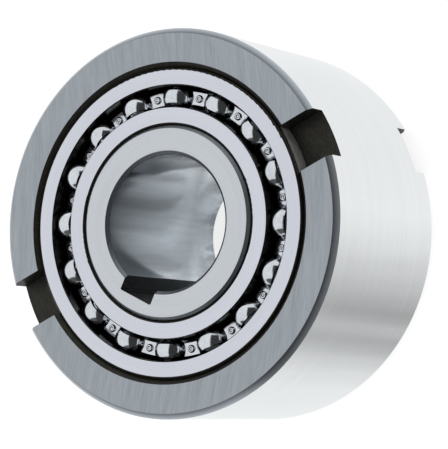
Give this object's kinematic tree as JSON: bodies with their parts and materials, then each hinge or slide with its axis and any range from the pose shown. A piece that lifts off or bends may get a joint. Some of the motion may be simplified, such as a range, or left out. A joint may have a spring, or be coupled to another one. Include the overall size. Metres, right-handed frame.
{
  "type": "sprag clutch",
  "caption": "One-way sprag clutch with a slotted outer ring, a keyed inner ring, an open ball bearing in each end and a caged ring of sprags between them.",
  "frame": {"origin": "centre of the rear end face, on the clutch's axis", "axes": "+Z along the clutch's axis towards the front face; +X through the drive slots"},
  "size_m": [0.1, 0.1, 0.053],
  "materials": {
    "outer_ring": "ground and brushed",
    "inner_ring": "ground",
    "bearing_race": "fine ground",
    "ball": "polished",
    "ribbon_cage": "pressed, bright",
    "cage_rivet": "pressed, bright",
    "side_washer": "stamped",
    "sprag_cage": "pressed",
    "ribbon_spring": "spring temper",
    "sprag": "hardened and ground"
  },
  "bodies": {
    "outer_ring": {"outer_ring": "outer_ring", "front_bearing_outer_race": "bearing_race", "rear_bearing_outer_race": "bearing_race"},
    "inner_ring": {"inner_ring": "inner_ring", "front_bearing_inner_race": "bearing_race", "rear_bearing_inner_race": "bearing_race", "front_side_washer": "side_washer", "rear_side_washer": "side_washer"},
    "sprag_set": {"sprag_outer_cage": "sprag_cage", "sprag_inner_cage": "sprag_cage", "sprag_ribbon_spring": "ribbon_spring", "sprag_cage_drag_clips": "ribbon_spring"},
    "front_ball_set": {"front_bearing_balls": "ball", "front_bearing_cage_front_half": "ribbon_cage", "front_bearing_cage_rear_half": "ribbon_cage", "front_bearing_cage_rivets": "cage_rivet"},
    "rear_ball_set": {"rear_bearing_balls": "ball", "rear_bearing_cage_front_half": "ribbon_cage", "rear_bearing_cage_rear_half": "ribbon_cage", "rear_bearing_cage_rivets": "cage_rivet"},
    "sprag_01": {"sprag_01": "sprag"},
    "sprag_02": {"sprag_02": "sprag"},
    "sprag_03": {"sprag_03": "sprag"},
    "sprag_04": {"sprag_04": "sprag"},
    "sprag_05": {"sprag_05": "sprag"},
    "sprag_06": {"sprag_06": "sprag"},
    "sprag_07": {"sprag_07": "sprag"},
    "sprag_08": {"sprag_08": "sprag"},
    "sprag_09": {"sprag_09": "sprag"},
    "sprag_10": {"sprag_10": "sprag"},
    "sprag_11": {"sprag_11": "sprag"},
    "sprag_12": {"sprag_12": "sprag"},
    "sprag_13": {"sprag_13": "sprag"},
    "sprag_14": {"sprag_14": "sprag"},
    "sprag_15": {"sprag_15": "sprag"},
    "sprag_16": {"sprag_16": "sprag"},
    "sprag_17": {"sprag_17": "sprag"},
    "sprag_18": {"sprag_18": "sprag"}
  },
  "joints": [
    {"name": "inner_ring_spin", "type": "hinge", "parent": "outer_ring", "child": "inner_ring", "pos_m": [0, 0, 0.0265], "axis": [0, 0, 1], "continuous": true},
    {"name": "front_ball_set_spin", "type": "hinge", "parent": "outer_ring", "child": "front_ball_set", "pos_m": [0, 0, 0.0475], "axis": [0, 0, 1], "continuous": true},
    {"name": "rear_ball_set_spin", "type": "hinge", "parent": "outer_ring", "child": "rear_ball_set", "pos_m": [0, 0, 0.0055], "axis": [0, 0, 1], "continuous": true},
    {"name": "sprag_set_spin", "type": "hinge", "parent": "outer_ring", "child": "sprag_set", "pos_m": [0, 0, 0.0265], "axis": [0, 0, 1], "continuous": true},
    {"name": "sprag_01_tilt", "type": "hinge", "parent": "sprag_set", "child": "sprag_01", "pos_m": [0.03155, 0, 0.0265], "axis": [0, 0, -1], "range_deg": [0, 5]},
    {"name": "sprag_02_tilt", "type": "hinge", "parent": "sprag_set", "child": "sprag_02", "pos_m": [0.02964, 0.01079, 0.0265], "axis": [0, 0, -1], "range_deg": [0, 5]},
    {"name": "sprag_03_tilt", "type": "hinge", "parent": "sprag_set", "child": "sprag_03", "pos_m": [0.02417, 0.02028, 0.0265], "axis": [0, 0, -1], "range_deg": [0, 5]},
    {"name": "sprag_04_tilt", "type": "hinge", "parent": "sprag_set", "child": "sprag_04", "pos_m": [0.01577, 0.02732, 0.0265], "axis": [0, 0, -1], "range_deg": [0, 5]},
    {"name": "sprag_05_tilt", "type": "hinge", "parent": "sprag_set", "child": "sprag_05", "pos_m": [0.00548, 0.03107, 0.0265], "axis": [0, 0, -1], "range_deg": [0, 5]},
    {"name": "sprag_06_tilt", "type": "hinge", "parent": "sprag_set", "child": "sprag_06", "pos_m": [-0.00548, 0.03107, 0.0265], "axis": [0, 0, -1], "range_deg": [0, 5]},
    {"name": "sprag_07_tilt", "type": "hinge", "parent": "sprag_set", "child": "sprag_07", "pos_m": [-0.01577, 0.02732, 0.0265], "axis": [0, 0, -1], "range_deg": [0, 5]},
    {"name": "sprag_08_tilt", "type": "hinge", "parent": "sprag_set", "child": "sprag_08", "pos_m": [-0.02417, 0.02028, 0.0265], "axis": [0, 0, -1], "range_deg": [0, 5]},
    {"name": "sprag_09_tilt", "type": "hinge", "parent": "sprag_set", "child": "sprag_09", "pos_m": [-0.02964, 0.01079, 0.0265], "axis": [0, 0, -1], "range_deg": [0, 5]},
    {"name": "sprag_10_tilt", "type": "hinge", "parent": "sprag_set", "child": "sprag_10", "pos_m": [-0.03155, 0, 0.0265], "axis": [0, 0, -1], "range_deg": [0, 5]},
    {"name": "sprag_11_tilt", "type": "hinge", "parent": "sprag_set", "child": "sprag_11", "pos_m": [-0.02964, -0.01079, 0.0265], "axis": [0, 0, -1], "range_deg": [0, 5]},
    {"name": "sprag_12_tilt", "type": "hinge", "parent": "sprag_set", "child": "sprag_12", "pos_m": [-0.02417, -0.02028, 0.0265], "axis": [0, 0, -1], "range_deg": [0, 5]},
    {"name": "sprag_13_tilt", "type": "hinge", "parent": "sprag_set", "child": "sprag_13", "pos_m": [-0.01577, -0.02732, 0.0265], "axis": [0, 0, -1], "range_deg": [0, 5]},
    {"name": "sprag_14_tilt", "type": "hinge", "parent": "sprag_set", "child": "sprag_14", "pos_m": [-0.00548, -0.03107, 0.0265], "axis": [0, 0, -1], "range_deg": [0, 5]},
    {"name": "sprag_15_tilt", "type": "hinge", "parent": "sprag_set", "child": "sprag_15", "pos_m": [0.00548, -0.03107, 0.0265], "axis": [0, 0, -1], "range_deg": [0, 5]},
    {"name": "sprag_16_tilt", "type": "hinge", "parent": "sprag_set", "child": "sprag_16", "pos_m": [0.01577, -0.02732, 0.0265], "axis": [0, 0, -1], "range_deg": [0, 5]},
    {"name": "sprag_17_tilt", "type": "hinge", "parent": "sprag_set", "child": "sprag_17", "pos_m": [0.02417, -0.02028, 0.0265], "axis": [0, 0, -1], "range_deg": [0, 5]},
    {"name": "sprag_18_tilt", "type": "hinge", "parent": "sprag_set", "child": "sprag_18", "pos_m": [0.02964, -0.01079, 0.0265], "axis": [0, 0, -1], "range_deg": [0, 5]}
  ],
  "couplings": [
    {"joint": "front_ball_set_spin", "follows": "inner_ring_spin", "ratio": 0.44505},
    {"joint": "rear_ball_set_spin", "follows": "inner_ring_spin", "ratio": 0.44505},
    {"joint": "sprag_02_tilt", "follows": "sprag_01_tilt", "ratio": 1},
    {"joint": "sprag_03_tilt", "follows": "sprag_01_tilt", "ratio": 1},
    {"joint": "sprag_04_tilt", "follows": "sprag_01_tilt", "ratio": 1},
    {"joint": "sprag_05_tilt", "follows": "sprag_01_tilt", "ratio": 1},
    {"joint": "sprag_06_tilt", "follows": "sprag_01_tilt", "ratio": 1},
    {"joint": "sprag_07_tilt", "follows": "sprag_01_tilt", "ratio": 1},
    {"joint": "sprag_08_tilt", "follows": "sprag_01_tilt", "ratio": 1},
    {"joint": "sprag_09_tilt", "follows": "sprag_01_tilt", "ratio": 1},
    {"joint": "sprag_10_tilt", "follows": "sprag_01_tilt", "ratio": 1},
    {"joint": "sprag_11_tilt", "follows": "sprag_01_tilt", "ratio": 1},
    {"joint": "sprag_12_tilt", "follows": "sprag_01_tilt", "ratio": 1},
    {"joint": "sprag_13_tilt", "follows": "sprag_01_tilt", "ratio": 1},
    {"joint": "sprag_14_tilt", "follows": "sprag_01_tilt", "ratio": 1},
    {"joint": "sprag_15_tilt", "follows": "sprag_01_tilt", "ratio": 1},
    {"joint": "sprag_16_tilt", "follows": "sprag_01_tilt", "ratio": 1},
    {"joint": "sprag_17_tilt", "follows": "sprag_01_tilt", "ratio": 1},
    {"joint": "sprag_18_tilt", "follows": "sprag_01_tilt", "ratio": 1}
  ]
}
